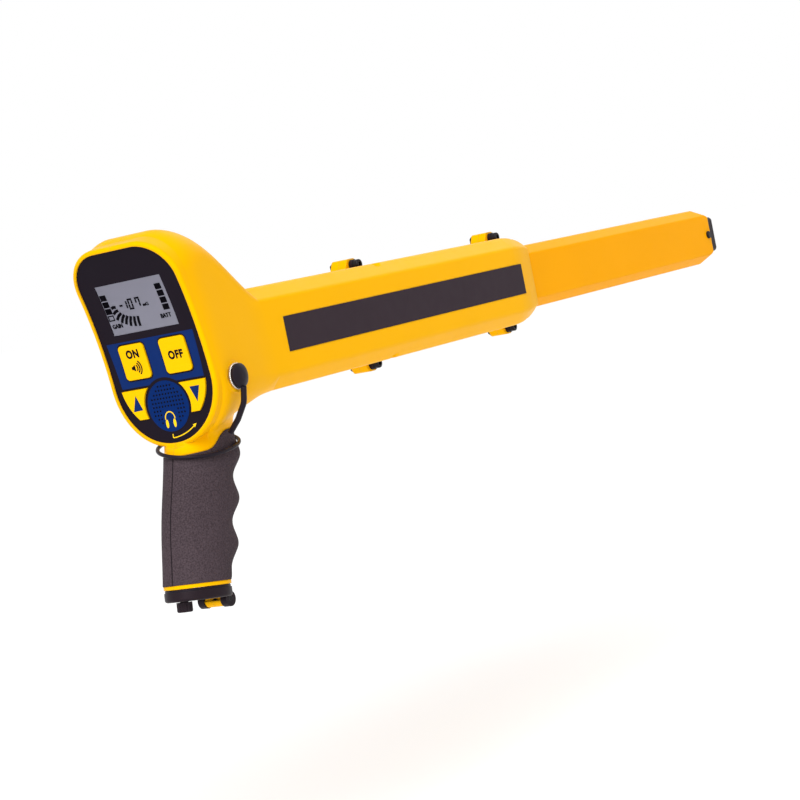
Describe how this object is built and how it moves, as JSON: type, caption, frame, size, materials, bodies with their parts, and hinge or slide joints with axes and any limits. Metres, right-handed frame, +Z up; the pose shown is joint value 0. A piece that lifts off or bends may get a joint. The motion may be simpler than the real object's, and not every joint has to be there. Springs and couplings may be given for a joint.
{
  "type": "magnetic locator",
  "caption": "Hand-held magnetic locator: pistol grip, flat-sided head with display and keys, and an octagonal sensor tube that slides out of the arm.",
  "frame": {"origin": "middle of the grip, on its axis", "axes": "+X forward along the sensor tube, +Y to the user's left, +Z up, with the tube level"},
  "size_m": [0.6421, 0.0686, 0.184],
  "materials": {
    "housing_yellow": "moulded, satin gloss",
    "tube_yellow": "satin paint",
    "grip_rubber": "fine grain",
    "panel_black": "smooth overlay",
    "window_clear": "clear",
    "display_grey": "liquid crystal display",
    "speaker_blue": "perforated overlay",
    "key_yellow": "soft touch",
    "board_green": "solder mask",
    "black_plastic": "moulded",
    "black_steel": "black oxide",
    "bright_steel": "turned",
    "cap_rubber": "moulded",
    "coil_copper": "wound",
    "cell_jacket": "printed jacket",
    "label_black": "printed film"
  },
  "bodies": {
    "housing": {"right_shell": "housing_yellow", "left_shell": "housing_yellow", "right_grip": "grip_rubber", "left_grip": "grip_rubber", "face_panel": "panel_black", "display_window": "window_clear", "display_module": "display_grey", "speaker_disc": "speaker_blue", "speaker": "black_plastic", "main_board": "board_green", "headphone_jack": "bright_steel", "jack_nut": "bright_steel", "tether_ring": "cap_rubber", "mouth_bush": "black_plastic", "wiper_seal": "cap_rubber", "lug_screws": "black_steel", "lug_collars": "black_plastic", "lug_nuts": "black_steel", "arm_label": "label_black", "battery_cells": "cell_jacket", "battery_contacts": "bright_steel", "hinge_pin": "bright_steel"},
    "tube": {"sensor_tube": "tube_yellow", "tube_end_cap": "black_plastic", "end_cap_screws": "black_steel", "tube_slider": "black_plastic", "front_sensor": "coil_copper", "rear_sensor": "coil_copper"},
    "door": {"battery_door": "black_plastic", "door_seal": "cap_rubber"},
    "knob": {"door_knob": "black_plastic"},
    "cap": {"jack_cap": "cap_rubber"},
    "on_button": {"key_on": "key_yellow"},
    "off_button": {"key_off": "key_yellow"},
    "up_button": {"key_up": "key_yellow"},
    "down_button": {"key_down": "key_yellow"}
  },
  "joints": [
    {"name": "tube_slide", "type": "slide", "parent": "housing", "child": "tube", "axis": [1, 0, 0], "range_m": [-0.23, 0]},
    {"name": "door_hinge", "type": "hinge", "parent": "housing", "child": "door", "pos_m": [0.00036, 0, -0.03825], "axis": [0, -1, 0], "range_deg": [0, 110]},
    {"name": "knob_turn", "type": "hinge", "parent": "door", "child": "knob", "pos_m": [-0.0232, 0, -0.02877], "axis": [0.1478, 0, 0.989], "range_deg": [0, 90]},
    {"name": "cap_swing", "type": "hinge", "parent": "housing", "child": "cap", "pos_m": [0.0113, -0.0206, 0.0401], "axis": [1, 0, 0], "range_deg": [0, 100]},
    {"name": "on_press", "type": "slide", "parent": "housing", "child": "on_button", "axis": [0.9836, 0, 0.1805], "range_m": [0, 0.0005], "stiffness_N_per_m": 1500},
    {"name": "off_press", "type": "slide", "parent": "housing", "child": "off_button", "axis": [0.9836, 0, 0.1805], "range_m": [0, 0.0005], "stiffness_N_per_m": 1500},
    {"name": "up_press", "type": "slide", "parent": "housing", "child": "up_button", "axis": [0.9836, 0, 0.1805], "range_m": [0, 0.0005], "stiffness_N_per_m": 1500},
    {"name": "down_press", "type": "slide", "parent": "housing", "child": "down_button", "axis": [0.9836, 0, 0.1805], "range_m": [0, 0.0005], "stiffness_N_per_m": 1500}
  ]
}
